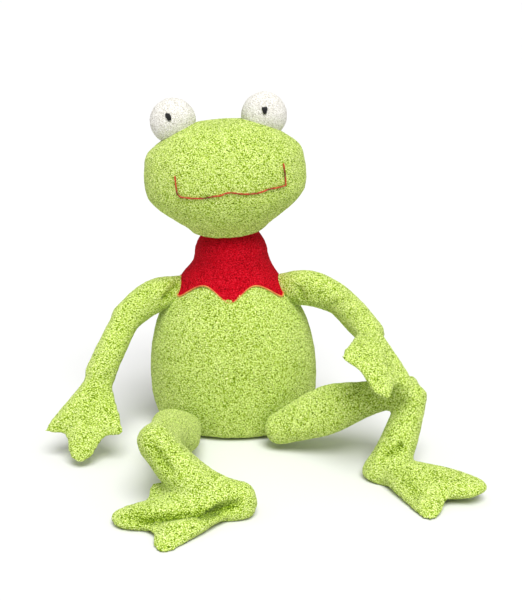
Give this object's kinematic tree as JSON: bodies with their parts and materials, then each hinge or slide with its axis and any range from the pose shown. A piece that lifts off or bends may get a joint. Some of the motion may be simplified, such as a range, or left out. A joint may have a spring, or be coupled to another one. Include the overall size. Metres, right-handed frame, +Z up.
{
  "type": "plush frog",
  "caption": "Seated plush frog of green terry cloth with a red scalloped collar, white ball eyes, a stitched mouth, long bendable arms and legs, and webbed hands and feet.",
  "frame": {"origin": "middle of the flat seat, on the floor", "axes": "+Z up; the frog faces -Y; its left side is +X"},
  "size_m": [0.34, 0.2981, 0.2823],
  "materials": {
    "terry_green": "looped terry, matt",
    "terry_red": "looped terry, matt",
    "terry_white": "looped terry, matt",
    "felt_black": "close stitching, matt",
    "thread_orange": "embroidery thread, satin",
    "wadding": "loose fibre filling"
  },
  "bodies": {
    "torso": {"neck_collar": "terry_red", "seat_panel": "terry_green", "torso_back_left": "terry_green", "torso_back_right": "terry_green", "torso_front_left": "terry_green", "torso_front_right": "terry_green", "torso_stuffing": "wadding"},
    "neck": {"neck_stuffing": "wadding"},
    "head": {"eye_left": "terry_white", "eye_right": "terry_white", "head_back": "terry_green", "head_front": "terry_green", "head_stuffing": "wadding", "mouth_stitching": "thread_orange", "pupil_left": "felt_black", "pupil_right": "felt_black"},
    "upper_arm_right": {"upper_arm_right": "terry_green", "upper_arm_stuffing_right": "wadding"},
    "forearm_right": {"forearm_right": "terry_green", "forearm_stuffing_right": "wadding"},
    "hand_right": {"hand_right": "terry_green", "hand_stuffing_right": "wadding"},
    "thigh_right": {"thigh_right": "terry_green", "thigh_stuffing_right": "wadding"},
    "shank_right": {"shank_right": "terry_green", "shank_stuffing_right": "wadding"},
    "foot_right": {"foot_right": "terry_green", "foot_stuffing_right": "wadding"},
    "upper_arm_left": {"upper_arm_left": "terry_green", "upper_arm_stuffing_left": "wadding"},
    "forearm_left": {"forearm_left": "terry_green", "forearm_stuffing_left": "wadding"},
    "hand_left": {"hand_left": "terry_green", "hand_stuffing_left": "wadding"},
    "thigh_left": {"thigh_left": "terry_green", "thigh_stuffing_left": "wadding"},
    "shank_left": {"shank_left": "terry_green", "shank_stuffing_left": "wadding"},
    "foot_left": {"foot_left": "terry_green", "foot_stuffing_left": "wadding"}
  },
  "joints": [
    {"name": "neck_nod", "type": "hinge", "parent": "torso", "child": "neck", "pos_m": [-0.0035, 0, 0.15], "axis": [1, 0, 0], "range_deg": [-20, 20]},
    {"name": "head_turn", "type": "hinge", "parent": "neck", "child": "head", "pos_m": [-0.0035, 0, 0.15], "axis": [0, 0, 1], "range_deg": [-60, 60]},
    {"name": "shoulder_right", "type": "hinge", "parent": "torso", "child": "upper_arm_right", "pos_m": [-0.04954, 0, 0.1205], "axis": [0.8388, 0, -0.5444], "range_deg": [-75, 20]},
    {"name": "elbow_right", "type": "hinge", "parent": "upper_arm_right", "child": "forearm_right", "pos_m": [-0.08765, -0.02644, 0.10215], "axis": [0.3113, -0.8004, 0.5124], "range_deg": [-60, 10]},
    {"name": "wrist_right", "type": "hinge", "parent": "forearm_right", "child": "hand_right", "pos_m": [-0.10684, -0.0585, 0.06372], "axis": [-0.9335, 0.2446, 0.2621], "range_deg": [-35, 35]},
    {"name": "hip_right", "type": "hinge", "parent": "torso", "child": "thigh_right", "pos_m": [-0.03934, -0.05981, 0.018], "axis": [-0.9934, 0.1149, 0], "range_deg": [-60, 45]},
    {"name": "knee_right", "type": "hinge", "parent": "thigh_right", "child": "shank_right", "pos_m": [-0.05229, -0.17174, 0.04988], "axis": [0.5971, 0.1551, 0.787], "range_deg": [-75, 0]},
    {"name": "ankle_right", "type": "hinge", "parent": "shank_right", "child": "foot_right", "pos_m": [0.00286, -0.18529, 0.0107], "axis": [-0.0916, 0.8942, -0.4381], "range_deg": [-60, 0]},
    {"name": "shoulder_left", "type": "hinge", "parent": "torso", "child": "upper_arm_left", "pos_m": [0.04502, 0, 0.1205], "axis": [0.81, 0, 0.5865], "range_deg": [-80, 0]},
    {"name": "elbow_left", "type": "hinge", "parent": "upper_arm_left", "child": "forearm_left", "pos_m": [0.08678, -0.02479, 0.11661], "axis": [0.1811, 0.3543, -0.9174], "range_deg": [-60, 0]},
    {"name": "wrist_left", "type": "hinge", "parent": "forearm_left", "child": "hand_left", "pos_m": [0.10926, -0.0715, 0.10301], "axis": [-0.801, -0.4869, 0.3483], "range_deg": [0, 35]},
    {"name": "hip_left", "type": "hinge", "parent": "torso", "child": "thigh_left", "pos_m": [0.03924, -0.05981, 0.018], "axis": [-0.2538, -0.9673, 0], "range_deg": [-60, 0]},
    {"name": "knee_left", "type": "hinge", "parent": "thigh_left", "child": "shank_left", "pos_m": [0.14441, -0.0874, 0.06149], "axis": [0.4288, 0.657, -0.6201], "range_deg": [-45, 0]},
    {"name": "ankle_left", "type": "hinge", "parent": "shank_left", "child": "foot_left", "pos_m": [0.11838, -0.12145, 0.00741], "axis": [-0.4081, -0.6711, 0.619], "range_deg": [-60, 0]}
  ]
}
